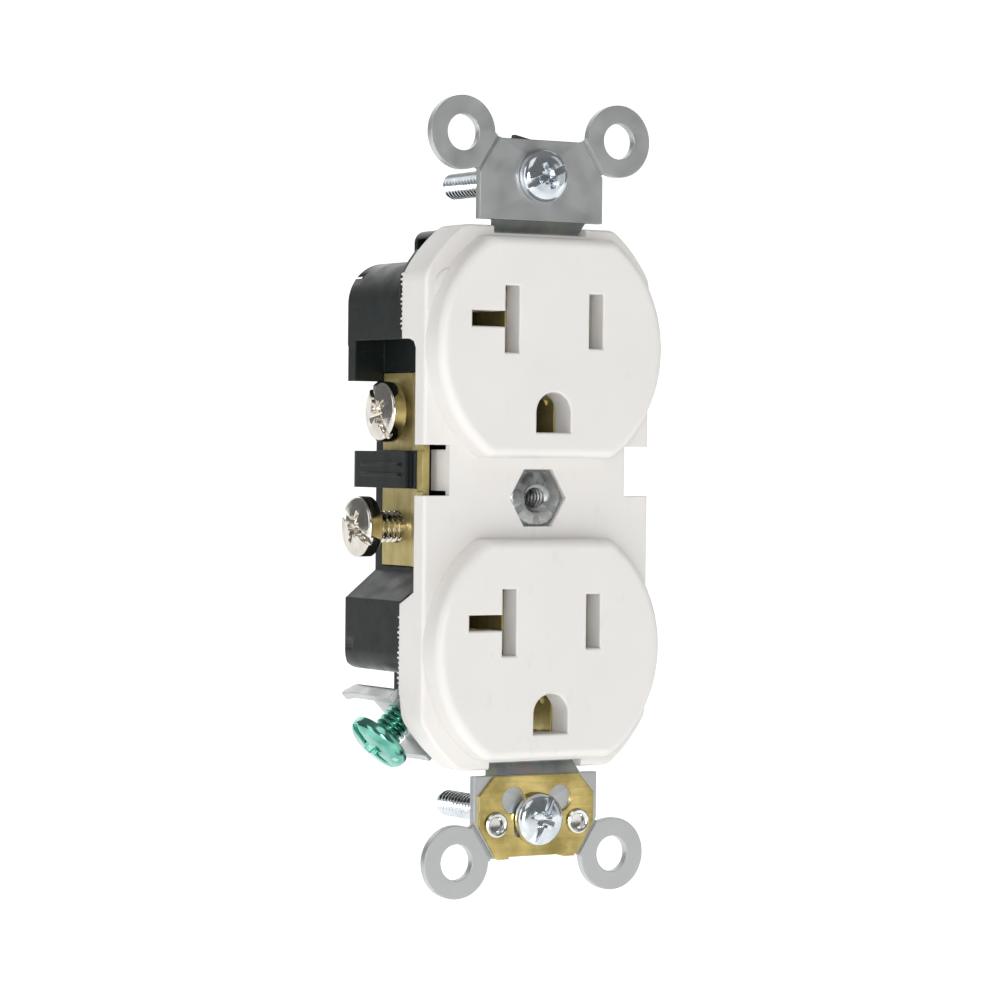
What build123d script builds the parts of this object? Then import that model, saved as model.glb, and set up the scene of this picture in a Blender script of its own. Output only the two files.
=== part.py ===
from build123d import *
import os
from math import atan2, cos, degrees, radians, sin, sqrt

# Duplex wall outlet, 20 A, 125 V, grounding, in millimetres.
# +X is to the right as the user faces the wall, +Y goes back into the wall, +Z is up.
# The origin is midway between the two mounting screws, on the front plane of the strap's ears.

# ---------------------------------------------------------------- driving dimensions
STRAP_T = 1.05              # sheet thickness of the mounting strap
EAR_REAR = STRAP_T          # the ears lie on the wall surface
BAR_FRONT = 1.30            # the middle of the strap is jogged back by this much
BAR_REAR = BAR_FRONT + STRAP_T
MOUNT_SPACING = 83.34       # between the two mounting screws
MOUNT_Z = MOUNT_SPACING / 2
EAR_HALF_W = 9.3
EAR_INNER_Z = 35.9
EAR_OUTER_Z = 46.4
EAR_CUT_X = 6.65            # the corner is cut from here on the outer edge ...
EAR_CUT_Z = 42.3            # ... to here on the side
PLASTER_X = 11.83           # centres of the four round plaster ears
PLASTER_Z = 46.82
PLASTER_R = 4.75
PLASTER_HOLE_R = 2.35

LOBE_Z = 19.45              # centres of the two outlet faces
LOBE_R = 16.95
LOBE_HALF_H = 14.2
LOBE_CORNER_R = 1.4
LOBE_EDGE_R = 1.2           # rounding of the front edges
FACE_FRONT = -3.63
LOBE_WALL_REAR = -0.20
LOBE_WALL = 1.8
FLANGE_FRONT = 0.20
FLANGE_EDGE_R = 0.48
FLANGE_WEB_REAR = 1.25
FLANGE_REAR = 2.60          # between the two outlets
SKIRT_REAR = 6.20           # round the two ends
SKIRT_WALL = 1.40
FLANGE_R = 19.35
FLANGE_HALF_W = 17.1
FLANGE_HALF_H = 35.15
NECK_NOTCH_HALF_W = 7.0
NECK_NOTCH_Z = 34.15

BUS_MID_Z = 3.51            # middle of the blade rows, bus bars, fins and side screws
ROW_OFFSET = 19.45
BLADE_X = 6.35
SLOT_W = 2.1
NEUTRAL_SLOT_H = 8.6
HOT_SLOT_H = 7.05
ARM_END_X = 12.33
ARM_H = 2.03
PIN_DROP = 11.88            # ground pin centre below the blade row
PIN_HOLE_R = 2.6

BODY_HALF_W = 16.8
BODY_REAR = 22.05           # of the two end blocks
BODY_MIDDLE_REAR = 21.2
BODY_MIDDLE_LOW = -13.5
BODY_MIDDLE_HIGH = 19.8
BODY_STEP_Y = 7.6
END_BLOCK_HALF_W = 12.9     # thick middle of the body's two ends
END_BLOCK_HALF_H = 34.6
END_BLOCK_REAR = 10.6
BODY_HALF_H = 30.8
BODY_CORNER_R = 5.5
CORE_HALF_W = 12.4
BACK_WALL_FRONT = 19.2
SIDE_SCREW_Y = 15.5
SIDE_SCREW_DZ = 7.55
PLATE_X = 12.5              # outer face of the terminal plates
PLATE_T = 1.0
PLATE_HALF_H = 5.1
FIN_X = 15.4                # outer face of the break-off fin
FIN_FRONT = 3.5
FIN_REAR = 5.0
STRIP_BEND_Y = 11.4         # the strip slants inwards from the fin to here

TERMINAL_THREAD_R = 2.08    # 8-32
MOUNT_THREAD_R = 1.75       # 6-32
FIT = 0.05                  # radial clearance round a moving thread

UPPER, LOWER = 1, -1
LEFT, RIGHT = -1, 1


# ---------------------------------------------------------------- helpers
def slab(sketch, front, rear):
    """A sketch drawn in X and Z, made solid from y = front to y = rear."""
    return extrude(Plane.XZ.offset(-front) * sketch, amount=rear - front, dir=(0, 1, 0))


def side_slab(sketch, x_low, x_high):
    """A sketch drawn in Y and Z, made solid from x_low to x_high."""
    return extrude(Plane.YZ.offset(x_low) * sketch, amount=x_high - x_low)


def block(x_low, x_high, y_low, y_high, z_low, z_high):
    middle = ((x_low + x_high) / 2, (y_low + y_high) / 2, (z_low + z_high) / 2)
    return Pos(*middle) * Box(x_high - x_low, y_high - y_low, z_high - z_low)


def polygon(*points):
    return make_face(Polyline(*points, close=True))


def rod_y(radius, x, z, front, rear):
    return slab(Pos(x, z) * Circle(radius), front, rear)


def rod_x(radius, y, z, x_low, x_high):
    return side_slab(Pos(y, z) * Circle(radius), x_low, x_high)


def span(side, x_low, x_high):
    """The two X values of a block that is mirrored from one side to the other."""
    return sorted((side * x_low, side * x_high))


def row_z(which):
    return BUS_MID_Z + which * ROW_OFFSET


def pin_z(which):
    return row_z(which) - PIN_DROP


def screw_z(which):
    return BUS_MID_Z + which * SIDE_SCREW_DZ


# ---------------------------------------------------------------- face cover
def lobe_sketch(which, inset=0.0):
    disc = Circle(LOBE_R - inset)
    band = Rectangle(2 * LOBE_R, 2 * (LOBE_HALF_H - inset))
    outline = disc & band
    outline = fillet(outline.vertices(), max(LOBE_CORNER_R - inset, 0.2))
    return Pos(0, which * LOBE_Z) * outline


def flange_sketch(inset=0.0):
    """Outline of the cover: straight sides and two round ends, cut flat at the tips."""
    half_w, radius = FLANGE_HALF_W - inset, FLANGE_R - inset
    outline = Rectangle(2 * half_w, 2 * (LOBE_Z + sqrt(radius ** 2 - half_w ** 2)))
    for which in (UPPER, LOWER):
        outline += Pos(0, which * LOBE_Z) * Circle(radius)
    outline &= Rectangle(2 * half_w, 2 * (FLANGE_HALF_H - inset))
    shoulders = outline.vertices().filter_by(lambda v: abs(v.X) > half_w - 0.01)
    outline = fillet(shoulders, 3.0)
    tips = outline.vertices().filter_by(lambda v: abs(v.Y) > FLANGE_HALF_H - inset - 0.01)
    return fillet(tips, 2.0)


def flange_notches():
    """Openings beside the two break-off fins and round the two necks of the strap."""
    notches = []
    for sign in (UPPER, LOWER):
        beside_fin = Pos(sign * (FIN_NOTCH_X + 6), BUS_MID_Z)
        notches.append(beside_fin * Rectangle(12, 2 * FIN_NOTCH_HALF_H))
        round_neck = Pos(0, sign * (NECK_NOTCH_Z + 2))
        notches.append(round_neck * Rectangle(2 * NECK_NOTCH_HALF_W, 4))
    return notches


def skirt_waste():
    """What is missing behind the flange between the two skirts, and where the lower one tapers."""
    far = SKIRT_REAR + 2
    middle = polygon((FLANGE_REAR, 19.2), (3.1, 20.0), (4.3, SKIRT_LOW_Z), (far, SKIRT_LOW_Z),
                     (far, -14.0), (SKIRT_REAR, -13.8), (FLANGE_REAR, -12.2))
    taper = polygon((SKIRT_REAR - 0.2, -25.5), (SKIRT_TIP_REAR, -33.5), (SKIRT_TIP_REAR, -40),
                    (far, -40), (far, -25.5))
    return side_slab(middle + taper, -FLANGE_HALF_W - 1, FLANGE_HALF_W + 1)


def slot_sketch(which):
    """Neutral slot with its side arm, hot slot, and ground hole of one outlet."""
    z = row_z(which)
    neutral = Pos(-BLADE_X, z) * Rectangle(SLOT_W, NEUTRAL_SLOT_H)
    arm_length = ARM_END_X - BLADE_X
    arm = Pos(-BLADE_X - arm_length / 2, z) * Rectangle(arm_length, ARM_H)
    hot = Pos(BLADE_X, z) * Rectangle(SLOT_W, HOT_SLOT_H)
    return neutral + arm + hot + pin_sketch(which, PIN_HOLE_R)


def pin_sketch(which, radius):
    arch = Pos(0, pin_z(which)) * Circle(radius)
    foot = Pos(0, pin_z(which) - radius / 2) * Rectangle(2 * radius, radius)
    return arch + foot


ASSEMBLY_SCREWS = {
    "assembly_screw_upper_left": (-13.4, 27.0),
    "assembly_screw_upper_right": (13.4, 27.0),
    "assembly_screw_lower_left": (-14.0, -19.6),
    "assembly_screw_lower_right": (13.4, -27.0),
}
ASSEMBLY_R = 1.4
ASSEMBLY_TIP = 0.2
ASSEMBLY_HEAD_R = 2.6
ASSEMBLY_HEAD_H = 1.6
ASSEMBLY_SEAT = BODY_MIDDLE_REAR - ASSEMBLY_HEAD_H - 0.3
BOSS_R = 2.4
HEX_FLATS = 7.0
HEX_FRONT = 0.6
SKIRT_LOW_Z = 20.4          # lower edge of the upper skirt
SKIRT_TIP_REAR = 4.4
FIN_NOTCH_X = 13.3
FIN_NOTCH_HALF_H = 3.25
FIN_GUARD_HALF_H = 2.65     # wall of the cover behind the notch, between strap and fin
COLLAR_REAR = 0.35          # wall of a ground hole
RIM_CHAMFER = 0.18


def cover_shell():
    """The flange with its skirts, open at the back."""
    shell = slab(flange_sketch(), FLANGE_FRONT, SKIRT_REAR)
    shell = fillet(shell.edges().group_by(Axis.Y)[0], FLANGE_EDGE_R)
    shell -= slab(flange_sketch(inset=SKIRT_WALL), FLANGE_WEB_REAR, SKIRT_REAR + 1)
    shell -= skirt_waste()
    for notch in flange_notches():
        shell -= slab(notch, FLANGE_FRONT - 1, SKIRT_REAR + 1)
    for end in (UPPER, LOWER):
        z_ends = sorted((end * (NECK_NOTCH_Z - 2), end * (FLANGE_HALF_H + 1)))
        shell -= block(-NECK_NOTCH_HALF_W, NECK_NOTCH_HALF_W, FLANGE_WEB_REAR, SKIRT_REAR + 1, *z_ends)
    return shell


def face_cover():
    cover = cover_shell()
    for which in (UPPER, LOWER):
        lobe = slab(lobe_sketch(which), FACE_FRONT, FLANGE_FRONT + FLANGE_EDGE_R)
        cover += fillet(lobe.edges().group_by(Axis.Y)[0], LOBE_EDGE_R)
        cover -= slab(lobe_sketch(which, inset=LOBE_WALL), LOBE_WALL_REAR, FLANGE_WEB_REAR)
    for x, z in ASSEMBLY_SCREWS.values():
        cover += rod_y(BOSS_R, x, z, LOBE_WALL_REAR, FLANGE_REAR)
    for which in (UPPER, LOWER):
        cover += slab(pin_sketch(which, PIN_HOLE_R + 1.1), LOBE_WALL_REAR, COLLAR_REAR)
        cover -= slab(slot_sketch(which), FACE_FRONT - 1, FLANGE_REAR)
    front = cover.faces().filter_by(Axis.Y).group_by(Axis.Y)[0]
    rims = [edge for face in front for wire in face.inner_wires() for edge in wire.edges()]
    cover = chamfer(rims, RIM_CHAMFER)
    for side in (LEFT, RIGHT):
        guard = span(side, FIN_NOTCH_X - SKIRT_WALL, FIN_NOTCH_X)
        cover += block(*guard, FLANGE_FRONT + FLANGE_EDGE_R, FIN_REAR,
                       BUS_MID_Z - FIN_GUARD_HALF_H, BUS_MID_Z + FIN_GUARD_HALF_H)
    for x, z in ASSEMBLY_SCREWS.values():
        cover -= rod_y(ASSEMBLY_R + 0.02, x, z, ASSEMBLY_TIP - 0.2, FLANGE_REAR + 1)
    cover -= slab(hexagon(HEX_FLATS + 0.4), FLANGE_FRONT - 1, FLANGE_REAR)
    return cover


def hexagon(flats):
    """Corners to the left and right."""
    return RegularPolygon(flats / 2, 6, major_radius=False)


# ---------------------------------------------------------------- ground terminal frame
TAB_LEAN = radians(46)
GROUND_HEAD = Vector(-17.9, 10.4, -32.2)        # centre of the ground screw's head
GROUND_HEAD_R = 4.25
GROUND_HEAD_H = 2.1
TAB_OUT = Vector(-sin(TAB_LEAN), 0, -cos(TAB_LEAN))
TAB_ALONG = Vector(cos(TAB_LEAN), 0, -sin(TAB_LEAN))
TAB_GAP = 5.0                                   # tab's outer face to the head's centre
TAB_FACE = GROUND_HEAD - TAB_OUT * TAB_GAP
TAB_UPPER_END = -4.95                           # outer faces of its two side walls
TAB_LOWER_END = 5.4
TAB_UPPER_WALL = 1.0                            # heights of the walls above the tab's face
TAB_LOWER_WALL = 2.4
TAB_ROOT_END = -1.6
TAB_FRONT = 6.4
TAB_REAR = 14.6
TAB_TAIL_REAR = 18.9


def tab_slab(sketch, front, rear):
    """A sketch drawn along and out from the tab, made solid from y = front to y = rear."""
    plane = Plane(origin=(TAB_FACE.X, front, TAB_FACE.Z), x_dir=TAB_ALONG, z_dir=(0, 1, 0))
    return extrude(plane * sketch, amount=rear - front)


# ---------------------------------------------------------------- mounting strap
NECK_HALF_W = 7.2
BAR_HALF_W = 6.3
BAR_END_Z = 33.9
WAIST_HALF_W = 4.2
MOUNT_SLOT_L = 4.8
MOUNT_SLOT_W = 3.8
RIVET_RISE = 5.3            # ground contact's rivet above the pin centre
RIVET_R = 1.0
SCORE_DEPTH = 0.3


def ear_sketch(end):
    plate = polygon((-EAR_HALF_W, end * EAR_INNER_Z), (EAR_HALF_W, end * EAR_INNER_Z),
                    (EAR_HALF_W, end * EAR_CUT_Z), (EAR_CUT_X, end * EAR_OUTER_Z),
                    (-EAR_CUT_X, end * EAR_OUTER_Z), (-EAR_HALF_W, end * EAR_CUT_Z))
    for side in (LEFT, RIGHT):
        centre = Pos(side * PLASTER_X, end * PLASTER_Z)
        plate += centre * Circle(PLASTER_R)
        reach = Vector(side * (PLASTER_X - 8.0), end * (PLASTER_Z - 44.5))
        turn = degrees(atan2(reach.Y, reach.X))
        plate += Pos(side * 9.0, end * 45.1) * Rot(0, 0, turn) * Rectangle(5.0, 5.2)
    for side in (LEFT, RIGHT):
        plate -= Pos(side * PLASTER_X, end * PLASTER_Z) * Circle(PLASTER_HOLE_R)
    return plate


def score_line(end, side):
    """Shallow groove along which a plaster ear is broken off."""
    start = Vector(side * (EAR_CUT_X - 0.4), 0, end * (EAR_OUTER_Z + 0.7))
    finish = Vector(side * (EAR_HALF_W + 0.2), 0, end * (EAR_CUT_Z - 0.3))
    middle = (start + finish) * 0.5
    along = (finish - start).normalized()
    frame = Plane(origin=middle, x_dir=along, z_dir=(0, -1, 0))
    return frame.location * Box((finish - start).length, 0.45, 2 * SCORE_DEPTH)


def strap_jog(end):
    """The neck between an ear plate and the bar, bent back by the jog."""
    outer, inner = EAR_INNER_Z + 0.6, BAR_END_Z - 0.6
    profile = polygon((0, end * (outer + 1)), (STRAP_T, end * (outer + 1)),
                      (STRAP_T, end * (outer - 0.4)), (BAR_REAR, end * (inner + 0.7)),
                      (BAR_REAR, end * (inner - 1)), (BAR_FRONT, end * (inner - 1)),
                      (BAR_FRONT, end * (inner + 1.1)), (0, end * outer))
    neck = side_slab(profile, -NECK_HALF_W, NECK_HALF_W)
    taper = polygon((-NECK_HALF_W, end * (outer + 1)), (NECK_HALF_W, end * (outer + 1)),
                    (NECK_HALF_W, end * outer), (BAR_HALF_W, end * (BAR_END_Z + 0.3)),
                    (BAR_HALF_W, end * (inner - 1)), (-BAR_HALF_W, end * (inner - 1)),
                    (-BAR_HALF_W, end * (BAR_END_Z + 0.3)), (-NECK_HALF_W, end * outer))
    return neck & slab(taper, -1, BAR_REAR + 1)


def ground_tab():
    """Flat root on the bar, then a plate bent back, with two walls that keep the wire in."""
    flat = polygon((-4, -24.2), (-13.0, -24.9), (-15.2, -27.3), (-10.6, -32.2), (-4, -32.6))
    tab = slab(flat, BAR_FRONT, BAR_REAR)
    root = polygon((TAB_ROOT_END, -STRAP_T), (TAB_LOWER_END, -STRAP_T), (TAB_LOWER_END, 0),
                   (TAB_ROOT_END, 0))
    tab += tab_slab(root, BAR_FRONT, TAB_FRONT)
    upper, lower = TAB_UPPER_END, TAB_LOWER_END
    channel = polygon((upper, -STRAP_T), (lower, -STRAP_T), (lower, TAB_LOWER_WALL),
                      (lower - STRAP_T, TAB_LOWER_WALL), (lower - STRAP_T, 0),
                      (upper + STRAP_T, 0), (upper + STRAP_T, TAB_UPPER_WALL),
                      (upper, TAB_UPPER_WALL))
    bends = channel.vertices().filter_by(lambda v: v.Y < -STRAP_T + 0.01)
    tab += tab_slab(fillet(bends, 0.9), TAB_FRONT, TAB_REAR)
    tail = polygon((TAB_REAR - 1, -STRAP_T), (15.9, -STRAP_T), (17.3, -0.6), (TAB_TAIL_REAR, 0.9),
                   (18.5, 1.4), (16.6, TAB_UPPER_WALL), (TAB_REAR - 1, TAB_UPPER_WALL))
    tail_plane = Plane(origin=TAB_FACE + TAB_ALONG * (upper + STRAP_T) - Vector(0, TAB_FACE.Y, 0),
                       x_dir=(0, 1, 0), z_dir=-TAB_ALONG)
    tail_wall = polygon((upper, -STRAP_T), (upper + STRAP_T, -STRAP_T), (upper + STRAP_T, 2),
                        (upper, 2))
    bend = tail_wall.vertices().filter_by(lambda v: v.Y < 0 and v.X < upper + 0.01)
    tail_wall = fillet(bend, 0.9)
    tab += extrude(tail_plane * tail, amount=STRAP_T) & tab_slab(tail_wall, TAB_REAR - 1, TAB_TAIL_REAR)
    return tab


def mounting_strap():
    strap = slab(ear_sketch(UPPER) + ear_sketch(LOWER), 0, STRAP_T)
    bar = Rectangle(2 * BAR_HALF_W, 2 * BAR_END_Z)
    for which in (UPPER, LOWER):
        for side in (LEFT, RIGHT):
            gap = BAR_HALF_W - WAIST_HALF_W
            bar -= Pos(side * (WAIST_HALF_W + gap / 2), row_z(which)) * Rectangle(gap, 10.4)
    strap += slab(bar, BAR_FRONT, BAR_REAR)
    for end in (UPPER, LOWER):
        strap += strap_jog(end)
    strap += ground_tab()
    for end in (UPPER, LOWER):
        strap -= slab(Pos(0, end * MOUNT_Z) * SlotOverall(MOUNT_SLOT_L, MOUNT_SLOT_W), -1, 2)
        strap -= slab(pin_sketch(end, PIN_HOLE_R + 0.9), 0, 5)
        strap -= rod_y(RIVET_R, 0, pin_z(end) + RIVET_RISE, 0, 5)
        for side in (LEFT, RIGHT):
            strap -= score_line(end, side)
    for side in (LEFT, RIGHT):
        strap -= rod_y(CLIP_RIVET_R, side * CLIP_RIVET_X, CLIP_RIVET_Z, -1, 3)
    strap -= rod_y(STANDOFF_SHANK_R, 0, 0, 0, 5)
    axis = Plane(origin=GROUND_HEAD, z_dir=TAB_OUT)
    strap -= axis.location * Cylinder(TERMINAL_THREAD_R + FIT, 40)
    return strap


# ---------------------------------------------------------------- centre standoff
STANDOFF_SHANK_R = 2.4
STANDOFF_REAR = 7.6
PLATE_THREAD_R = 1.35


def plate_screw_standoff():
    piece = slab(hexagon(HEX_FLATS), HEX_FRONT, BAR_FRONT)
    piece += rod_y(STANDOFF_SHANK_R, 0, 0, BAR_FRONT, STANDOFF_REAR)
    piece += rod_y(STANDOFF_SHANK_R + 0.7, 0, 0, BAR_REAR, BAR_REAR + 0.6)
    piece -= rod_y(PLATE_THREAD_R, 0, 0, 0, STANDOFF_REAR + 1)
    mouth = Plane(origin=(0, HEX_FRONT, 0), z_dir=(0, 1, 0)) * Cone(
        2.0, PLATE_THREAD_R, 0.65, align=(Align.CENTER, Align.CENTER, Align.MIN))
    return piece - mouth


# ---------------------------------------------------------------- rear body
TAB_ROOM_X = -8.9           # the corner of the body left open for the ground terminal
TAB_ROOM_Z = -23.0
CHAMBER_REAR = 15.2
CHANNEL_HALF_W = 3.7        # the channel behind the strap, for the ground contacts
CHANNEL_REAR = 14.4
DIVIDER_HALF_W = 16.3
DIVIDER_LOW = 1.1
DIVIDER_HIGH = 5.9
DIVIDER_CORNER_R = 1.4
RECESS_HIGH = 20.4
BACK_WALL_LOW = 15.1
SKIRT_GAP = 0.1
TIP_ROOM = 13.0             # length of the ground screw's hole, from its head's centre


def recess_cut(side):
    """Room for the terminal screws of one side."""
    far = BODY_HALF_W + 2
    beyond = BODY_REAR + 1
    cut = block(*span(side, CORE_HALF_W, far), 0, BACK_WALL_FRONT, DIVIDER_HIGH, RECESS_HIGH)
    cut += block(*span(side, CORE_HALF_W, far), 0, beyond, DIVIDER_HIGH, BACK_WALL_LOW)
    lower = polygon((side * CORE_HALF_W, DIVIDER_LOW), (side * far, DIVIDER_LOW),
                    (side * far, -15.3), (side * BODY_HALF_W, -13.5), (side * CORE_HALF_W, -9.9))
    cut += slab(lower, 0, beyond)
    divider = RectangleRounded(2 * DIVIDER_HALF_W, BODY_MIDDLE_REAR - FIN_REAR - 0.2,
                               DIVIDER_CORNER_R)
    divider = Pos(0, (BODY_MIDDLE_REAR + FIN_REAR + 0.2) / 2) * divider
    waste = block(*span(side, CORE_HALF_W, far), 0, beyond, DIVIDER_LOW - 1, DIVIDER_HIGH + 1)
    cut += waste - extrude(Plane.XY.offset(DIVIDER_LOW - 2) * divider, amount=9)
    guard_room = FIN_GUARD_HALF_H + 0.15
    cut += block(*span(side, FIN_NOTCH_X - SKIRT_WALL - 0.15, far), 0, FIN_REAR + 0.2,
                 BUS_MID_Z - guard_room, BUS_MID_Z + guard_room)
    for which in (UPPER, LOWER):
        z = screw_z(which)
        reach = PLATE_HALF_H + 0.1
        cut += block(*span(side, PLATE_X - PLATE_T, CORE_HALF_W + 0.2), 0, BACK_WALL_FRONT + 0.1,
                     z - reach, z + reach)
        cut += rod_x(TERMINAL_THREAD_R + 0.3, SIDE_SCREW_Y, z, *span(side, 4.2, CORE_HALF_W))
    return cut


def contact_chamber(side, which):
    """Pocket for one blade contact and its link to the terminal plate, open to the front."""
    z_ends = {UPPER: (13.1, row_z(UPPER) + 4.4), LOWER: (row_z(LOWER) - 4.4, -6.2)}[which]
    room = block(*span(side, 4.5, PLATE_X - PLATE_T), 0, CHAMBER_REAR, *z_ends)
    if side == LEFT:
        room += block(-13.0, -11, 0, CHAMBER_REAR - 3, row_z(which) - 2, row_z(which) + 2)
    return room


def body_blank():
    """Outside of the body, narrower at the front where it fills the cover's skirts."""
    inside_skirt = slab(flange_sketch(inset=SKIRT_WALL + SKIRT_GAP), FLANGE_REAR, SKIRT_REAR + 0.1)
    rim = slab(flange_sketch(inset=0.3), SKIRT_REAR + 0.05, BODY_STEP_Y)
    rear = slab(RectangleRounded(2 * BODY_HALF_W, 2 * BODY_HALF_H, BODY_CORNER_R),
                BODY_STEP_Y, BODY_REAR)
    rear = chamfer(rear.edges().group_by(Axis.Y)[-1], 0.7)
    end_blocks = slab(RectangleRounded(2 * END_BLOCK_HALF_W, 2 * END_BLOCK_HALF_H, 1.6),
                      SKIRT_REAR + 0.05, END_BLOCK_REAR)
    blank = inside_skirt + rim + end_blocks + rear
    blank -= block(-BODY_HALF_W - 1, BODY_HALF_W + 1, BODY_MIDDLE_REAR, BODY_REAR + 1,
                   BODY_MIDDLE_LOW, BODY_MIDDLE_HIGH)
    tab_room = polygon((TAB_ROOM_X, TAB_ROOM_Z), (-25, TAB_ROOM_Z), (-25, -40), (TAB_ROOM_X, -40))
    blank -= slab(tab_room, 0, BODY_REAR + 1)
    toe = blank.edges().filter_by(Axis.Y).filter_by_position(Axis.X, -16.9, -16.7)
    toe = toe.filter_by_position(Axis.Z, TAB_ROOM_Z - 0.1, TAB_ROOM_Z + 0.1)
    return fillet(toe, 2.6)


def rear_body():
    body = body_blank()
    for side in (LEFT, RIGHT):
        body -= recess_cut(side)
        body -= block(*span(side, END_BLOCK_HALF_W - 1.5, END_BLOCK_HALF_W + 2), SKIRT_REAR + 0.8,
                      END_BLOCK_REAR - 0.8, END_BLOCK_HALF_H - 2.6, END_BLOCK_HALF_H - 1.1)
        for z in (BUS_MID_Z - 0.65, BUS_MID_Z + 0.65):
            rib = span(side, DIVIDER_HALF_W - 0.2, DIVIDER_HALF_W + 0.3)
            body += block(*rib, 8.0, BODY_MIDDLE_REAR - 3.2, z - 0.2, z + 0.2)
        for which in (UPPER, LOWER):
            body -= contact_chamber(side, which)
    body -= block(-CHANNEL_HALF_W, CHANNEL_HALF_W, 0, CHANNEL_REAR, -FLANGE_HALF_H, FLANGE_HALF_H)
    for x, z in ASSEMBLY_SCREWS.values():
        body -= rod_y(ASSEMBLY_R + 0.1, x, z, 0, BODY_REAR + 1)
        body -= rod_y(ASSEMBLY_HEAD_R + 0.2, x, z, ASSEMBLY_SEAT, BODY_REAR + 1)
    axis = Plane(origin=GROUND_HEAD, z_dir=-TAB_OUT)
    body -= axis.location * Cylinder(TERMINAL_THREAD_R + 0.3, TIP_ROOM,
                                     align=(Align.CENTER, Align.CENTER, Align.MIN))
    return body


# ---------------------------------------------------------------- bus bars and contacts
LEAF_T = 0.6
LEAF_FRONT = -0.1
LEAF_REAR = 14.0
SPINE_T = 0.8
BLADE_GAP = 1.8
LEAF_HALF_H = 3.9
PIN_LEAF_X = 2.45
PIN_LEAF_FRONT = 0.45
PIN_LEAF_REAR = 13.4


def terminal_strip(side):
    """Terminal plates and break-off fin: one strip seen from above, cut to shape in side view."""
    outer = [(FIN_X, FIN_FRONT), (FIN_X, FIN_REAR), (PLATE_X, STRIP_BEND_Y),
             (PLATE_X, BACK_WALL_FRONT)]
    inner = [(x - PLATE_T, y) for x, y in outer]
    section = polygon(*[(side * x, y) for x, y in outer + inner[::-1]])
    strip = extrude(Plane.XY.offset(-12) * section, amount=32)
    outline = Pos((FIN_FRONT + FIN_REAR) / 2, BUS_MID_Z) * Rectangle(
        FIN_REAR - FIN_FRONT, 2 * (SIDE_SCREW_DZ + 3.4))
    for which in (UPPER, LOWER):
        z = screw_z(which)
        plate_front = FIN_REAR - 0.2
        outline += Pos((plate_front + BACK_WALL_FRONT) / 2, z) * Rectangle(
            BACK_WALL_FRONT - plate_front, 2 * PLATE_HALF_H)
    strip &= side_slab(outline, *span(side, 10, 17))
    for z in (BUS_MID_Z - 2.6, BUS_MID_Z + 2.6):
        strip -= block(*span(side, FIN_X - 0.25, FIN_X + 1), FIN_FRONT - 1, FIN_REAR + 1,
                       z - 0.2, z + 0.2)
    return strip


def blade_contact(side, which, with_arm):
    """Two spring leaves joined at the rear, with guides for the cross blade where there is an arm."""
    z = row_z(which)
    inner_x = BLADE_X - BLADE_GAP / 2
    outer_x = BLADE_X + BLADE_GAP / 2
    contact = block(*span(side, inner_x - LEAF_T, inner_x), LEAF_FRONT, LEAF_REAR,
                    z - LEAF_HALF_H, z + LEAF_HALF_H)
    contact += block(*span(side, outer_x, outer_x + LEAF_T), LEAF_FRONT, LEAF_REAR,
                     z - LEAF_HALF_H, z + LEAF_HALF_H)
    if with_arm:
        half_gap = 1.0
        contact -= block(*span(side, outer_x - 0.1, outer_x + 1), LEAF_FRONT - 1, 11.8,
                         z - half_gap, z + half_gap)
        for up in (UPPER, LOWER):
            z_ends = sorted((z + up * half_gap, z + up * (half_gap + LEAF_T)))
            contact += block(*span(side, outer_x, ARM_END_X - 0.4), 2.7, 11.2, *z_ends)
    return contact


def bus_bar(side):
    bar = terminal_strip(side)
    for which in (UPPER, LOWER):
        bar += blade_contact(side, which, with_arm=(side == LEFT))
        z_ends = {UPPER: (13.4, row_z(UPPER) + LEAF_HALF_H),
                  LOWER: (row_z(LOWER) - LEAF_HALF_H, -6.4)}[which]
        spine = span(side, BLADE_X - BLADE_GAP / 2 - LEAF_T, PLATE_X - PLATE_T)
        bar += block(*spine, LEAF_REAR, LEAF_REAR + SPINE_T, *z_ends)
        bar -= rod_x(TERMINAL_THREAD_R + FIT, SIDE_SCREW_Y, screw_z(which), *span(side, 9, 20))
    return bar


def ground_contact(which):
    """Base plate riveted behind the strap, with two leaves that grip the ground pin."""
    z = pin_z(which)
    base_low, base_high = z - 3.1, z + RIVET_RISE + 1.9
    base = Pos(0, (base_low + base_high) / 2) * Rectangle(6.4, base_high - base_low)
    contact = slab(base, BAR_REAR, BAR_REAR + LEAF_T)
    contact -= slab(pin_sketch(which, PIN_HOLE_R), 0, 5)
    for side in (LEFT, RIGHT):
        contact += block(*span(side, PIN_LEAF_X, PIN_LEAF_X + LEAF_T), PIN_LEAF_FRONT, PIN_LEAF_REAR,
                         z - 2.6, z + 1.6)
    return contact - rod_y(RIVET_R, 0, z + RIVET_RISE, 0, 5)


def ground_rivet(which):
    z = pin_z(which) + RIVET_RISE
    rivet = rod_y(RIVET_R, 0, z, BAR_FRONT, BAR_REAR + LEAF_T)
    rivet += rod_y(1.5, 0, z, BAR_FRONT - 0.6, BAR_FRONT)
    return rivet + rod_y(1.6, 0, z, BAR_REAR + LEAF_T, BAR_REAR + LEAF_T + 0.5)


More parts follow.
